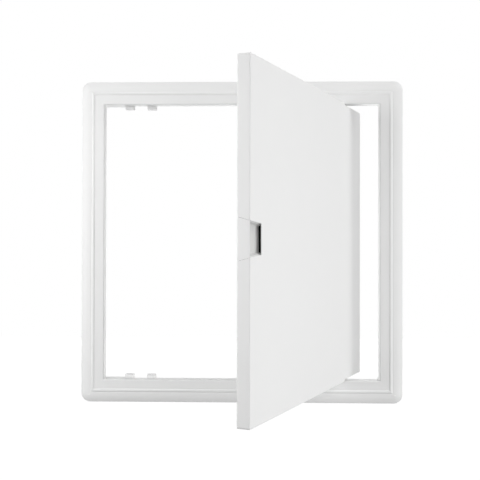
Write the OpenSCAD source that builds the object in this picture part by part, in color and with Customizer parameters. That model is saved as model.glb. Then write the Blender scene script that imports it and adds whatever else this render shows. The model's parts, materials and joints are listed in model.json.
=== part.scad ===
// Moulded access panel for a ceiling or wall: a flanged frame with a collar,
// and a tray-shaped door that turns on two pins inset from its hinge edge.
// X runs to the right, Y into the void behind the panel, Z up. The origin is
// the centre of the opening, in the plane of the ceiling or wall surface.

/* [Frame] */
// Clear width and height inside the collar
opening = 291.5; // [200:0.5:600]
// Thickness of the collar wall
collar_wall = 2.5; // [1.8:0.1:4]
// How far the collar reaches behind the surface
collar_depth = 8.5; // [7.5:0.1:20]
// Radius of the opening's corners
opening_corner_r = 2.2; // [0.5:0.1:3]
// How far the flange reaches past the outside of the collar
flange_reach = 21.75; // [17:0.25:40]
// How far the flange's flat band stands proud of the surface
flange_rise = 4.5; // [3.5:0.1:8]
// How far the flange's outer edge stands proud of the surface
edge_rise = 1.6; // [0.8:0.1:2.4]
// Thickness of the flange's moulded skin
flange_skin = 2.2; // [1.5:0.1:3]
// Width of the rim that rests on the surface
rim_w = 2.2; // [1.5:0.1:4]
// Radius of the flange's outer corners
flange_corner_r = 9.5; // [7:0.5:11]
// Radius of the edge between the flange and the collar's inside
lip_r = 1.2; // [0.5:0.1:2]
// Distance of the ridge's middle from the flange's outer edge
ridge_inset = 12.7; // [12:0.1:14]
// Width of the ridge
ridge_w = 3.4; // [2:0.1:4]
// Height of the ridge
ridge_rise = 0.9; // [0.4:0.1:1.2]
// Distance between the gussets behind the flange
gusset_pitch = 56; // [30:1:120]
// Thickness of gussets and stiffening ribs
rib_t = 1.6; // [1.2:0.1:3]

/* [Lugs] */
// Distance of a lug pair's middle from the collar's inside, on the free side
lug_inset = 37.25; // [30:0.25:60]
// Width of one lug
lug_w = 9.6; // [6:0.1:14]
// Clear space between the two lugs of a pair
lug_gap = 14; // [11:0.1:20]
// How far a lug stands out of the collar wall
lug_reach = 3.7; // [3:0.1:5]
// Depth of a lug
lug_depth = 5; // [4.5:0.1:12]
// Radius of a lug's tip corners
lug_r = 0.9; // [0.3:0.1:1.5]

/* [Door] */
// Gap between the door's edge and the collar
door_gap = 1; // [0.8:0.05:1.6]
// Depth of the door from its face to its back edge
door_depth = 11.5; // [11:0.5:20]
// Thickness of the door's face
face_t = 2.2; // [1.5:0.1:3]
// Thickness of the door's return walls
door_wall = 2.2; // [1.5:0.1:3]
// Radius of the door's corners, seen from the front
door_corner_r = 2; // [0.5:0.1:3]
// Radius of the edge round the door's face
face_edge_r = 1; // [0.3:0.1:1.4]
// Radius of the door's back edge
back_edge_r = 1.2; // [0.5:0.1:2]
// Height of the ribs behind the door's face
rib_h = 5; // [2:0.1:7]
// Length of the door's hinge end, which is narrower than the rest
relief_len = 54; // [50:0.5:70]
// How much each side narrows there
relief = 2.4; // [1:0.1:4]
// Length of the slope where it narrows
relief_ramp = 3; // [2:0.5:15]
// How far the door stands open
open_angle = 66; // [0:1:150]

/* [Hinge] */
// Distance of the hinge axis from the collar's inside
hinge_inset = 37.25; // [34:0.25:60]
// Distance of the hinge axis behind the door's face
hinge_depth = 7.3; // [6:0.1:7.8]
// Diameter of the hinge pins
pin_d = 4.4; // [3:0.1:5]
// Wall of the boss round a pin
boss_wall = 1.5; // [1.2:0.1:2]
// Length of the boss behind the door's wall
boss_len = 9; // [5:0.5:15]
// Height of the snap bead on a pin's inner end
bead_rise = 0.5; // [0.2:0.1:0.8]
// Length of the snap bead
bead_len = 2.4; // [1.5:0.1:4]
// Width of the slit that lets the bead spring in
slit_w = 1; // [0.6:0.1:1.4]
// Depth of the slit
slit_len = 7; // [3:0.5:9]

/* [Finger pull] */
// Length of the notch in the door's face
notch_len = 21.5; // [16:0.1:30]
// Half the height of the notch at the door's free edge
notch_half = 14.3; // [12:0.1:20]
// How much each side of the notch closes in towards its end
notch_taper = 1.8; // [0:0.1:4]
// How much each side of the insert's end wall spreads towards the door's back
wedge_spread = 3.1; // [0:0.1:4]
// Thickness of the face's lip at the end of the notch
lip_t = 0.5; // [0.4:0.1:1]
// Slope of the lip's underside, in degrees
lip_slope = 21; // [10:1:24]
// How far the pull's middle lies above the door's middle
pull_rise = 1.4; // [0:0.1:3]
// Depth of the scoop's floor below the face
scoop_depth = 4.6; // [4:0.1:6]
// Slope from the door's free edge down to the scoop's floor, in degrees
scoop_slope = 35; // [28:1:60]
// Lean of the scoop's sides towards its floor, in degrees
scoop_lean = 19; // [5:1:25]
// Distance of the floor's far end from the free edge
scoop_len = 26.4; // [23:0.1:32]
// Thickness of the scoop's floor and sides
scoop_wall = 1.2; // [1:0.1:2]
// Length of the pocket behind the notch, from the free edge
pocket_len = 36; // [30:0.5:50]
// Half the height of the pocket
pocket_half = 18.5; // [17.5:0.1:24]
// Wall of the pocket
pocket_wall = 1.3; // [1:0.1:2]

/* [Catches] */
// Width of a catch's foot
catch_w = 16; // [14:0.1:24]
// Thickness of a catch's foot
catch_t = 1.8; // [1.2:0.1:3]
// Thickness of a catch's prong
prong_t = 2.4; // [1.6:0.1:3.4]
// How far the prongs reach in between the lugs
catch_engage = 4; // [2:0.1:4.4]
// Height of the guides beside a catch's foot
guide_h = 4; // [2:0.1:6]

/* [Clearances] */
// Between a hinge pin and its socket in the collar
run_clear = 0.05; // [0.02:0.01:0.1]
// Between a hinge pin and its boss
push_clear = 0.02; // [0.01:0.01:0.05]
// Between the closed door's back and the lugs
stop_clear = 0.3; // [0.2:0.05:0.5]
// Between a pin's shoulder and the collar
end_clear = 0.3; // [0.2:0.05:0.5]
// Round the finger pull's insert
seam = 0.15; // [0.1:0.05:0.3]
// Between a catch's prongs and the lugs
catch_clear = 0.3; // [0.2:0.05:0.5]
// Between a catch's foot and its guides
guide_clear = 0.2; // [0.1:0.05:0.4]

/* [Hidden] */
$fn = 64;

abs_white = [0.93, 0.93, 0.92];
acetal_white = [0.86, 0.86, 0.84];
pocket_grey = [0.25, 0.25, 0.26];

over = 1;       // how far a cutting shape runs past what it cuts
merge = 0.4;    // how far shapes of one moulding run into each other

// Frame
half_open = opening / 2;
collar_half = half_open + collar_wall;
collar_end_r = collar_wall / 2;
half_flange = collar_half + flange_reach;
band_start = half_flange - flange_corner_r;
crown_drop = flange_rise - edge_rise;
crown_r = (flange_corner_r * flange_corner_r + crown_drop * crown_drop) / (2 * crown_drop);
ridge_r = (ridge_w * ridge_w / 4 + ridge_rise * ridge_rise) / (2 * ridge_rise);
ridge_at = half_flange - ridge_inset;

// Door, in its closed place
half_door = half_open - door_gap;
door_front = -flange_rise;
door_back = door_front + door_depth;
face_back = door_front + face_t;

// Lugs
lug_front = door_back + stop_clear;
lug_back = lug_front + lug_depth;
lug_x = lug_inset - half_open;
lug_step = (lug_gap + lug_w) / 2;

// Hinge
boss_r = pin_d / 2 + boss_wall;
axis_x = half_open - hinge_inset;
axis_y = door_front + hinge_depth;
relief_half = half_door - relief;
relief_x = half_door - relief_len;
relief_angle = atan(relief / relief_ramp);
boss_in = relief_half - door_wall - boss_len;
shoulder_end = half_open - end_clear;

// Finger pull
free_x = -half_door;
pocket_back = door_back - merge;
lip_run = (face_t - lip_t) / tan(lip_slope);
scoop_floor = door_front + scoop_depth;
scoop_under = scoop_floor + scoop_wall;
scoop_foot = free_x + scoop_depth / tan(scoop_slope);
scoop_end = free_x + scoop_len;
scoop_start = free_x + door_wall + seam;
spread_angle = atan(wedge_spread / door_depth);

// Catches
catch_seat = half_door - door_wall;
catch_back = lug_front + catch_engage;
catch_half = lug_gap / 2 - catch_clear;
catch_step = door_back + guide_clear;
prong_top = half_open - door_gap / 2;

// Takes off a corner at the origin, which opens towards +x and +y, to radius r
module corner_cut(r) {
    difference() {
        translate([-over, -over]) square(r + over);
        translate([r, r]) circle(r);
    }
}

// Section from x0 to x1 and y0 to y1, with its low-y and high-y corners rounded
module rounded_section(x0, x1, y0, y1, r_low, r_high) {
    difference() {
        translate([x0, y0]) square([x1 - x0, y1 - y0]);
        translate([x0, y0]) corner_cut(r_low);
        translate([x1, y0]) mirror([1, 0]) corner_cut(r_low);
        translate([x0, y1]) mirror([0, 1]) corner_cut(r_high);
        translate([x1, y1]) rotate(180) corner_cut(r_high);
    }
}

// Extrudes a front view, drawn with x to the right and y up, from y0 to y1 in depth
module along_depth(y0, y1) {
    translate([0, y1, 0]) rotate([90, 0, 0]) linear_extrude(height = y1 - y0) children();
}

// Extrudes a side view, drawn with x as depth and y up, from x0 to x1
module along_width(x0, x1) {
    translate([x0, 0, 0]) rotate([90, 0, 90]) linear_extrude(height = x1 - x0) children();
}

// Turns what is drawn in its closed place to where the open door has it
module swing() {
    translate([axis_x, axis_y, 0]) rotate([0, 0, open_angle])
        translate([-axis_x, -axis_y, 0]) children();
}

// Frame

// Crowned outer band of the flange: x is the distance from the corner's centre
module outer_band(skin, width) {
    intersection() {
        translate([0, skin - flange_rise]) square([width, flange_rise - skin + (skin > 0 ? over : 0)]);
        translate([0, crown_r - flange_rise]) circle(crown_r - skin);
    }
}

module ridge_section() {
    intersection() {
        translate([ridge_at, ridge_r - flange_rise - ridge_rise]) circle(ridge_r);
        translate([ridge_at - ridge_w, -flange_rise - ridge_w]) square([2 * ridge_w, ridge_w + merge]);
    }
}

// Flange with no hollow behind it: x is the distance from the panel's centre
module flange_solid_section() {
    difference() {
        union() {
            translate([half_open, -flange_rise]) square([band_start - half_open, flange_rise]);
            translate([band_start, 0]) outer_band(0, flange_corner_r);
            ridge_section();
        }
        translate([half_open, -flange_rise]) corner_cut(lip_r);
    }
}

module flange_hollow_section() {
    translate([collar_half, flange_skin - flange_rise])
        square([band_start - collar_half, flange_rise - flange_skin + over]);
    translate([band_start, 0]) outer_band(flange_skin, flange_corner_r - rim_w);
}

module rail_section() {
    difference() {
        flange_solid_section();
        flange_hollow_section();
    }
    translate([half_open, -merge]) square([collar_wall, collar_depth - collar_end_r + merge]);
    translate([half_open + collar_end_r, collar_depth - collar_end_r]) circle(collar_end_r);
}

// Front view of one rail, mitred inside and square-ended at the round corners
module rail_mitre() {
    polygon([[0, 0], [band_start, band_start], [half_flange + over, band_start],
             [half_flange + over, -band_start], [band_start, -band_start]]);
}

module rail() {
    gussets = floor(half_open / gusset_pitch);
    intersection() {
        linear_extrude(height = 2 * half_flange, center = true) rail_section();
        along_depth(-flange_rise - ridge_w, collar_depth + over) rail_mitre();
    }
    for (i = [-gussets : gussets])
        translate([0, 0, i * gusset_pitch - rib_t / 2])
            linear_extrude(height = rib_t) flange_solid_section();
}

module flange_corner() {
    translate([band_start, 0, -band_start]) rotate([-90, 0, 0]) rotate_extrude(angle = 90)
        difference() {
            outer_band(0, flange_corner_r);
            outer_band(flange_skin, flange_corner_r - rim_w);
        }
}

// Fillet that rounds one corner of the opening, up to the lip's round edge
module opening_fillet() {
    along_depth(lip_r - flange_rise, collar_depth - collar_end_r)
        translate([half_open - opening_corner_r, half_open - opening_corner_r]) difference() {
            square(opening_corner_r + merge);
            circle(opening_corner_r);
        }
}

// Front view of a lug that hangs from the origin
module lug_outline() {
    translate([-lug_w / 2, lug_r - lug_reach]) square([lug_w, lug_reach - lug_r + merge]);
    translate([lug_r - lug_w / 2, -lug_reach]) square([lug_w - 2 * lug_r, lug_reach]);
    for (side = [-1, 1])
        translate([side * (lug_w / 2 - lug_r), lug_r - lug_reach]) circle(lug_r);
}

// Lug pair of one corner, with the deeper stretches of collar that carry it
module lug_pair() {
    for (side = [-1, 1]) {
        lug_at = lug_x + side * lug_step;
        ear_start = side < 0 ? -collar_half + opening_corner_r : lug_at - lug_w / 2;
        translate([lug_at, 0, half_open]) along_depth(lug_front, lug_back) lug_outline();
        translate([ear_start, collar_depth - collar_wall, half_open])
            cube([lug_at + lug_w / 2 - ear_start, lug_back - collar_depth + collar_wall, collar_wall]);
    }
}

module frame() {
    color(abs_white) difference() {
        union() {
            for (turn = [0 : 90 : 270]) rotate([0, turn, 0]) {
                rail();
                flange_corner();
                opening_fillet();
            }
            for (end = [0, 1]) mirror([0, 0, end]) lug_pair();
        }
        translate([axis_x, axis_y, 0])
            cylinder(h = 2 * half_flange, d = pin_d + 2 * run_clear, center = true);
    }
}

// Door

// Front view of the door, set in by a wall: its hinge end is narrower
module door_outline(inset) {
    half = half_door - inset;
    low = relief_half - inset;
    slope_x = relief_x - inset * tan(relief_angle / 2);
    polygon([[-half, -half], [slope_x - relief_ramp, -half], [slope_x, -low], [half, -low],
             [half, low], [slope_x, low], [slope_x - relief_ramp, half], [-half, half]]);
}

module rounded_door_outline() {
    difference() {
        door_outline(0);
        for (end = [1, -1]) scale([1, end]) {
            translate([-half_door, -half_door]) corner_cut(door_corner_r);
            translate([half_door, -relief_half]) mirror([1, 0]) corner_cut(door_corner_r);
        }
    }
}

// Round edges seen from above, which the finger pull's insert shares
module edge_rounding() {
    linear_extrude(height = 2 * half_flange, center = true)
        rounded_section(-half_door, half_door, door_front, door_back, face_edge_r, back_edge_r);
}

// Round edges seen from the side, for a stretch of the door with one height
module side_rounding(x0, x1, half) {
    along_width(x0, x1) rotate(-90) mirror([1, 0])
        rounded_section(-half, half, door_front, door_back, face_edge_r, back_edge_r);
}

module door_tray() {
    difference() {
        intersection() {
            along_depth(door_front, door_back) rounded_door_outline();
            edge_rounding();
            union() {
                side_rounding(-half_door - over, relief_x, half_door);
                side_rounding(relief_x, half_door + over, relief_half);
            }
        }
        along_depth(face_back, door_back + over) door_outline(door_wall);
    }
}

module door_ribs() {
    length = 2 * half_door - door_wall;
    for (side = [-1, 1]) {
        translate([side * half_door / 3 - rib_t / 2, face_back - merge, -length / 2])
            cube([rib_t, rib_h + merge, length]);
        translate([-length / 2, face_back - merge, side * half_door / 3 - rib_t / 2])
            cube([length, rib_h + merge, rib_t]);
    }
}

module hinge_boss() {
    length = boss_len + merge;
    translate([axis_x, axis_y, boss_in]) cylinder(h = length, r = boss_r);
    translate([axis_x - boss_r, face_back - merge, boss_in])
        cube([2 * boss_r, axis_y - face_back + merge, length]);
}

module catch_guides() {
    for (side = [-1, 1])
        translate([lug_x + side * (catch_w / 2 + guide_clear + rib_t / 2) - rib_t / 2,
                   face_back - merge, catch_seat - guide_h])
            cube([rib_t, door_back - back_edge_r - face_back + merge, guide_h + merge]);
}

// Wedge between two planes that close in along the notch and spread towards the back by an angle
module pull_wedge(grow, spread) {
    size = 2 * half_door;
    difference() {
        translate([free_x - over, door_front - over, -pocket_half - over])
            cube([pocket_len + over, door_depth + 2 * over, 2 * (pocket_half + over)]);
        for (end = [0, 1]) mirror([0, 0, end])
            translate([free_x, door_front, notch_half + grow])
                rotate([spread, atan(notch_taper / notch_len), 0])
                    translate([-size / 2, -size / 2, 0]) cube(size);
    }
}

// What the finger pull takes out of the door: the notch in the face, and the end wall
module pull_cut() {
    intersection() {
        pull_wedge(0, -scoop_lean);
        translate([free_x - over, door_front - over, -pocket_half])
            cube([notch_len + over, face_t + 2 * over, 2 * pocket_half]);
    }
    intersection() {
        pull_wedge(0, spread_angle);
        translate([free_x - over, door_front - over, -pocket_half])
            cube([scoop_start - free_x + over, door_depth + 2 * over, 2 * pocket_half]);
    }
    // Sloping underside of the lip at the notch's end
    translate([free_x + notch_len, door_front + lip_t, -notch_half])
        rotate([0, 0, lip_slope]) translate([-over, 0, 0])
            cube([lip_run / cos(lip_slope) + over, face_t, 2 * notch_half]);
}

module door() {
    color(abs_white) swing() difference() {
        union() {
            door_tray();
            door_ribs();
            for (end = [0, 1]) mirror([0, 0, end]) {
                hinge_boss();
                catch_guides();
            }
        }
        at_pull() pull_cut();
        translate([axis_x, axis_y, 0])
            cylinder(h = 2 * half_flange, d = pin_d + 2 * push_clear, center = true);
    }
}

// Hinge pins

// Half section of a pin: x from its axis, y up from the panel's middle
module pin_section() {
    r = pin_d / 2;
    tip = collar_half + end_clear;
    bead_low = boss_in - bead_len;
    polygon([[0, bead_low], [r - bead_rise, bead_low], [r + bead_rise, boss_in - bead_len / 2],
             [r + bead_rise, boss_in - end_clear], [r, boss_in - end_clear], [r, relief_half],
             [boss_r, relief_half], [boss_r, shoulder_end], [r, shoulder_end],
             [r, tip - bead_rise], [r - bead_rise, tip], [0, tip]]);
}

module hinge_pin() {
    color(acetal_white) swing() translate([axis_x, axis_y, 0]) difference() {
        rotate_extrude() pin_section();
        translate([-slit_w / 2, -pin_d, boss_in - bead_len - over])
            cube([slit_w, 2 * pin_d, slit_len + over]);
    }
}

module upper_hinge_pin() hinge_pin();

module lower_hinge_pin() rotate_lower() hinge_pin();

// Puts the upper piece of a pair at the bottom
module rotate_lower() mirror([0, 0, 1]) children();

// Finger pull

// Puts what is drawn at the door's middle at the height of the pull
module at_pull() translate([0, 0, pull_rise]) children();

// Extrudes a view from above across the height of the pull
module across_pull() linear_extrude(height = 2 * pocket_half, center = true) children();

// What the scoop's slope and floor leave open, seen from above
module scoop_space() {
    polygon([[free_x - over, door_front - over], [free_x, door_front], [scoop_foot, scoop_floor],
             [scoop_end + over, scoop_floor], [scoop_end + over, door_front - over]]);
}

// Slope behind the end wall, seen from above
module scoop_ramp() {
    polygon([[free_x, door_front], [scoop_foot, scoop_floor], [scoop_foot, scoop_under],
             [free_x, scoop_under]]);
}

// End wall, slope, floor and sides, which carry on from the notch in the face
module scoop() {
    difference() {
        union() {
            intersection() {
                pull_wedge(-seam, spread_angle);
                edge_rounding();
                translate([free_x, door_front, -pocket_half])
                    cube([door_wall, door_depth, 2 * pocket_half]);
            }
            intersection() {
                pull_wedge(-seam, -scoop_lean);
                edge_rounding();
                across_pull() scoop_ramp();
            }
            intersection() {
                pull_wedge(scoop_wall, -scoop_lean);
                translate([scoop_start, face_back + seam, -pocket_half])
                    cube([scoop_end - scoop_start, scoop_under - face_back - seam, 2 * pocket_half]);
            }
        }
        intersection() {
            pull_wedge(0, -scoop_lean);
            across_pull() scoop_space();
        }
    }
}

module finger_pull() {
    color(abs_white) swing() at_pull() scoop();
}

module pull_pocket() {
    length = free_x + pocket_len - scoop_start;
    color(pocket_grey) swing() at_pull() translate([scoop_start, face_back, 0]) difference() {
        translate([0, 0, -pocket_half]) cube([length, pocket_back - face_back, 2 * pocket_half]);
        translate([pocket_wall, -over, pocket_wall - pocket_half])
            cube([length - 2 * pocket_wall, pocket_back - pocket_wall - face_back + over,
                  2 * (pocket_half - pocket_wall)]);
        // Way for the scoop through the near wall
        translate([-over, -over, pocket_wall - pocket_half])
            cube([pocket_wall + 2 * over, scoop_under + seam - face_back + over,
                  2 * (pocket_half - pocket_wall)]);
    }
}

// Catches

// A wide foot in the door, and a narrower neck with two prongs that passes between the lugs
module catch() {
    color(acetal_white) swing() translate([lug_x, 0, catch_seat - catch_t]) {
        translate([-catch_w / 2, face_back, 0])
            cube([catch_w, door_back - face_back, catch_t]);
        translate([-catch_half, door_back - merge, 0])
            cube([2 * catch_half, catch_back - door_back + merge, catch_t]);
        for (side = [0, 1]) mirror([side, 0, 0])
            translate([catch_half - prong_t, catch_step, 0])
                cube([prong_t, catch_back - catch_step, prong_top - catch_seat + catch_t]);
    }
}

module upper_catch() catch();

module lower_catch() rotate_lower() catch();

frame();
door();
upper_hinge_pin();
lower_hinge_pin();
finger_pull();
pull_pocket();
upper_catch();
lower_catch();
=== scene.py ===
import json
import math

import bpy
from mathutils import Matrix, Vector


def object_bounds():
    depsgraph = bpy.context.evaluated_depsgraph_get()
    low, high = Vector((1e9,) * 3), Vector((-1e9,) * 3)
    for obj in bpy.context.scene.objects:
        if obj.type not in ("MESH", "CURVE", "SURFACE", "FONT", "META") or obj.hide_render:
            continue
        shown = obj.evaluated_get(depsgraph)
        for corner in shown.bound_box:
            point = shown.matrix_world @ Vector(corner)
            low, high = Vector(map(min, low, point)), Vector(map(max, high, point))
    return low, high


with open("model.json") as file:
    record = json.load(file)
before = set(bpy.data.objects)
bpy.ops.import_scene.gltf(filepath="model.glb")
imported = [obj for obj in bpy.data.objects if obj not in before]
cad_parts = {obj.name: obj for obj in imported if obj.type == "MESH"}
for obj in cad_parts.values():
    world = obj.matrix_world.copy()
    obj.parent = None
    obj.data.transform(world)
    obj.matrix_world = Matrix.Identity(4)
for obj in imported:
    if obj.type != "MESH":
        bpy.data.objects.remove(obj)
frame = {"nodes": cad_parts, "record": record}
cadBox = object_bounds()
panelNodes = frame["nodes"]
print("loaded", len(panelNodes), "solids")

mixSockets = {"factor": 0, "low": 6, "high": 7, "result": 2}  # a Mix node's colour sockets share names


class Wire:  # a socket in a node tree: sums on it add Math nodes
    def __init__(self, tree, socket=None):
        self.tree = tree
        self.socket = socket

    def node(self, kind, settings=None, feeds=None, out=0):
        made = self.tree.nodes.new("ShaderNode" + kind)
        for name, value in (settings or {}).items():
            setattr(made, name, value)
        for name, value in (feeds or {}).items():
            if isinstance(value, Wire):
                self.tree.links.new(value.socket, made.inputs[name])
            else:
                made.inputs[name].default_value = value
        return Wire(self.tree, made.outputs[out] if made.outputs else None)

    def maths(self, operation, a, b):
        return self.node("Math", {"operation": operation}, {0: a, 1: b})

    def __add__(self, other):
        return self.maths("ADD", self, other)

    def __radd__(self, other):
        return self.maths("ADD", other, self)

    def __sub__(self, other):
        return self.maths("SUBTRACT", self, other)

    def __rsub__(self, other):
        return self.maths("SUBTRACT", other, self)

    def __mul__(self, other):
        return self.maths("MULTIPLY", self, other)

    def __rmul__(self, other):
        return self.maths("MULTIPLY", other, self)

    def rise(self, start, end):  # from 0 at start to 1 at end
        ease = {"interpolation_type": "SMOOTHSTEP"}
        return self.node("MapRange", ease, {"Value": self, "From Min": start, "From Max": end})

    def along(self, direction):  # how far a point lies along a direction
        feeds = {0: self, 1: direction}
        return self.node("VectorMath", {"operation": "DOT_PRODUCT"}, feeds, out="Value")

    def blend(self, low, high):  # low where the wire is 0, high where it is 1
        feeds = {mixSockets["factor"]: self, mixSockets["low"]: low, mixSockets["high"]: high}
        return self.node("Mix", {"data_type": "RGBA"}, feeds, out=mixSockets["result"])


def rgba(colour):
    return (*colour, 1)


def startMaterial(name):
    material = bpy.data.materials.new(name)
    material.use_nodes = True
    material.node_tree.nodes.clear()
    return material, Wire(material.node_tree)


def endMaterial(material, shader):
    shader.node("OutputMaterial", None, {"Surface": shader})
    return material


# Noise of all the finishes: even in every direction, about 0 to 1
noise = {
    "roughness": 0.55,
    "middle": 0.5,
}


def grain(wire, place, lumps):  # the lumps' size in metres, and how many finer layers they carry
    return wire.node("TexNoise", None, {
        "Vector": place,
        "Scale": 1 / lumps["size"],
        "Detail": lumps["detail"],
        "Roughness": noise["roughness"],
    })


def sway(height, span):  # the noise about zero, over a span
    return span * (height - noise["middle"])


def bumpOf(wire, height, depth, under=None):  # depth in metres
    feeds = {"Height": height, "Distance": depth, "Strength": 1.0}
    if under:
        feeds["Normal"] = under
    return wire.node("Bump", None, feeds)


# Satin white moulding: frame, door and finger pull
shell = {
    "tone": (0.862, 0.862, 0.858),
    "cooler": (0.848, 0.850, 0.848),
    "roughness": 0.57,
    "sheenSpan": 0.06,     # how much the sheen varies
    "mottle": {"size": 0.035, "detail": 3.0},
    "spark": {"size": 0.0005, "detail": 2.0},  # spark-eroded mould texture
    "sparkDepth": 0.000010,
    "flow": {"size": 0.045, "detail": 1.0},    # slow waves of the cooled skin
    "flowDepth": 0.000030,
    "refraction": 1.53,
}


def satinShell(name, paintedShade=None):  # the optional mask gives a wire that is 1 where painted shade darkens the tone
    material, wire = startMaterial(name)
    place = wire.node("TexCoord", out="Object")
    mottle = grain(wire, place, shell["mottle"])
    spark = grain(wire, place, shell["spark"])
    flow = grain(wire, place, shell["flow"])
    colour = mottle.blend(rgba(shell["tone"]), rgba(shell["cooler"]))
    if paintedShade:
        colour = paintedShade(place).blend(colour, rgba(pull["paintedShadeTone"]))
    sheen = shell["roughness"] + sway(mottle, shell["sheenSpan"]) + sway(spark, shell["sheenSpan"])
    waves = bumpOf(wire, flow, shell["flowDepth"])
    surface = wire.node("BsdfPrincipled", None, {
        "Base Color": colour,
        "Roughness": sheen,
        "IOR": shell["refraction"],
        "Normal": bumpOf(wire, spark, shell["sparkDepth"], waves),
    })
    return endMaterial(material, surface)


# Painted shade in the finger pull's scoop: a darker tone stands in for the shade inside the recess
pull = {
    "paintedShadeTone": (0.660, 0.660, 0.655),
    "from": (0.0003, 0.0015),  # where the painted shade sets in, in metres from the door's free edge
    "to": (0.0210, 0.0260),    # and where it fades
}


# Painted shade: a mask over the scoop, from just inside the free edge to under the lip
def scoopPaintedShade(place):
    doorHinge = frame["record"]["behaviour"]["joints"][0]
    swung = math.radians(-doorHinge["range_deg"][0])  # how far open from closed
    inward = Vector((math.cos(swung), math.sin(swung), 0))  # from the free edge to the hinge
    edge = min(corner.co.dot(inward) for corner in panelNodes["finger_pull"].data.vertices)
    reach = place.along(inward) - edge
    return reach.rise(*pull["from"]) * (1 - reach.rise(*pull["to"]))


# Natural acetal: hinge pins and catches
acetal = {
    "tone": (0.80, 0.80, 0.775),
    "milky": (0.76, 0.765, 0.75),
    "cloud": {"size": 0.006, "detail": 3.0},
    "roughness": 0.30,
    "sheenSpan": 0.05,     # how much the sheen varies
    "skin": {"size": 0.0012, "detail": 2.0},
    "skinDepth": 0.000012,
    "refraction": 1.48,
}


def naturalAcetal():
    material, wire = startMaterial("naturalAcetal")
    place = wire.node("TexCoord", out="Object")
    cloud = grain(wire, place, acetal["cloud"])
    skin = grain(wire, place, acetal["skin"])
    surface = wire.node("BsdfPrincipled", None, {
        "Base Color": cloud.blend(rgba(acetal["tone"]), rgba(acetal["milky"])),
        "Roughness": acetal["roughness"] + sway(skin, acetal["sheenSpan"]),
        "IOR": acetal["refraction"],
        "Normal": bumpOf(wire, skin, acetal["skinDepth"]),
    })
    return endMaterial(material, surface)


# Painted shade: the box behind the finger pull, near black and grained, standing in for the deep shade
# in the slot under the lip
pocket = {
    "tone": (0.050, 0.050, 0.052),
    "paler": (0.065, 0.065, 0.067),
    "patch": {"size": 0.003, "detail": 4.0},
    "roughness": 0.62,
    "sheenSpan": 0.1,      # how much the sheen varies
    "fine": {"size": 0.0007, "detail": 2.0},
    "fineDepth": 0.00004,
}


# Painted shade: a near-black finish so the slot reads as deep shade
def paintedShadePocket():
    material, wire = startMaterial("paintedShadePocket")
    place = wire.node("TexCoord", out="Object")
    patch = grain(wire, place, pocket["patch"])
    fine = grain(wire, place, pocket["fine"])
    surface = wire.node("BsdfPrincipled", None, {
        "Base Color": patch.blend(rgba(pocket["tone"]), rgba(pocket["paler"])),
        "Roughness": pocket["roughness"] + sway(fine, pocket["sheenSpan"]),
        "Normal": bumpOf(wire, fine, pocket["fineDepth"]),
    })
    return endMaterial(material, surface)


whiteShell = satinShell("satinShell")
# The finger pull's finish carries painted shade in its scoop
scoopPaintedShadeShell = satinShell("scoopPaintedShadeShell", scoopPaintedShade)
paleAcetal = naturalAcetal()
finishes = {
    "frame": whiteShell,
    "door": whiteShell,
    "finger_pull": scoopPaintedShadeShell,
    "upper_hinge_pin": paleAcetal,
    "lower_hinge_pin": paleAcetal,
    "upper_catch": paleAcetal,
    "lower_catch": paleAcetal,
    "pull_pocket": paintedShadePocket(),
}
for name, solid in panelNodes.items():
    solid.data.materials.clear()
    solid.data.materials.append(finishes[name])
print("finished", len(finishes), "pieces")


plainWhite = rgba((1, 1, 1))


def backgroundRays(wire):  # 1 for what the camera sees, straight, reflected or through something clear
    direct = wire.node("LightPath", out="Is Camera Ray")
    glossy = wire.node("LightPath", out="Is Glossy Ray")
    through = wire.node("LightPath", out="Is Transmission Ray")
    return wire.maths("MINIMUM", direct + glossy + through, 1.0)


# Pale floor, well below the panel
floor = {
    "drop": 0.65,          # below the panel's lowest point
    "half": 6.0,           # from its middle to each side
    "tone": (0.5, 0.5, 0.5),
    "glow": 0.89,          # what the camera sees besides the lit floor
}


def paleFloor():
    level = cadBox[0].z - floor["drop"]
    sides = ((-1, -1), (1, -1), (1, 1), (-1, 1))
    corners = [(x * floor["half"], y * floor["half"], level) for x, y in sides]
    mesh = bpy.data.meshes.new("floor")
    mesh.from_pydata(corners, [], [(0, 1, 2, 3)])
    plane = bpy.data.objects.new("floor", mesh)
    bpy.context.scene.collection.objects.link(plane)
    material, wire = startMaterial("paleFloor")
    seen = backgroundRays(wire)
    lit = wire.node("BsdfDiffuse", None, {"Color": rgba(floor["tone"])})
    glow = wire.node("Emission", None, {"Color": plainWhite, "Strength": floor["glow"]})
    both = wire.node("AddShader", None, {0: lit, 1: glow})
    shown = wire.node("MixShader", None, {0: seen, 1: lit, 2: both})
    mesh.materials.append(endMaterial(material, shown))


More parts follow.
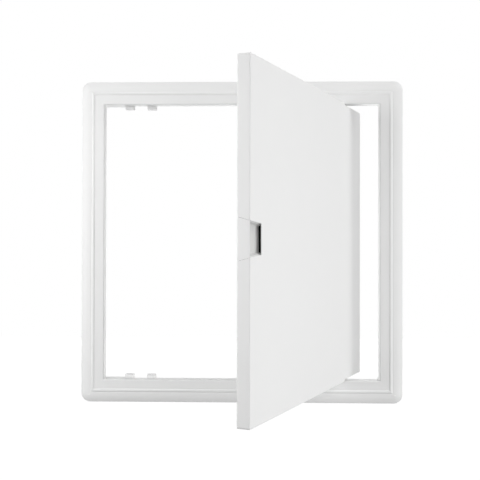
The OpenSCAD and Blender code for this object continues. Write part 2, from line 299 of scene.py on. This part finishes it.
# Soft studio light: the point that all boxes face, the light from all round, and the boxes
light = {
    "aim": (0.0, -0.05, 0.0),
    "ambient": 0.27,
    "boxes": {
        "leftBox": {"at": (-0.55, -0.30, 0.08), "size": 0.5, "power": 1.25},
        "leftFront": {"at": (-0.50, -0.50, 0.09), "size": 0.5, "power": 1.74},
        "rightNear": {"at": (0.34, -0.42, 0.00), "size": 0.3, "power": 0.27},
        "rightSide": {"at": (0.90, -0.20, 0.15), "size": 0.6, "power": 1.02},
        "rightLow": {"at": (0.50, -0.40, -0.40), "size": 0.5, "power": 1.08},
        "rightHigh": {"at": (0.86, -0.55, 0.99), "size": 1.4, "power": 9.7},
        "backLow": {"at": (0.0, 1.20, -0.25), "size": 1.0, "power": 8.6},
    },
}


def studioLight():
    world = bpy.data.worlds.new("studio")
    bpy.context.scene.world = world
    world.use_nodes = True
    world.node_tree.nodes.clear()
    wire = Wire(world.node_tree)
    strength = light["ambient"] + (1 - light["ambient"]) * backgroundRays(wire)
    sky = wire.node("Background", None, {"Color": plainWhite, "Strength": strength})
    wire.node("OutputWorld", None, {"Surface": sky})
    for name, box in light["boxes"].items():
        lamp = bpy.data.lights.new(name, "AREA")
        lamp.size = box["size"]
        lamp.energy = box["power"]
        stand = bpy.data.objects.new(name, lamp)
        stand.location = box["at"]
        facing = Vector(light["aim"]) - stand.location
        stand.rotation_euler = facing.to_track_quat("-Z", "Y").to_euler()
        bpy.context.scene.collection.objects.link(stand)


# Camera: nearly square on to the panel, a little right of its middle
view = {
    "at": (0.01972, -0.82302, -0.00312),
    "level": 90,           # lifts a new camera from looking straight down
    "yaw": 1.475,
    "pitch": 0.365,
    "roll": 0.111,
    "lens": 58.126,
    "sensor": 36.0,
}


def photoCamera():
    data = bpy.data.cameras.new("camera")
    data.lens = view["lens"]
    data.sensor_width = view["sensor"]
    camera = bpy.data.objects.new("camera", data)
    camera.location = view["at"]
    turns = (view["level"] + view["pitch"], -view["roll"], view["yaw"])
    camera.rotation_euler = [math.radians(turn) for turn in turns]
    bpy.context.scene.collection.objects.link(camera)
    bpy.context.scene.camera = camera


paleFloor()
studioLight()
photoCamera()
bpy.context.scene.view_settings.view_transform = "Standard"
print("set floor, lights and camera")
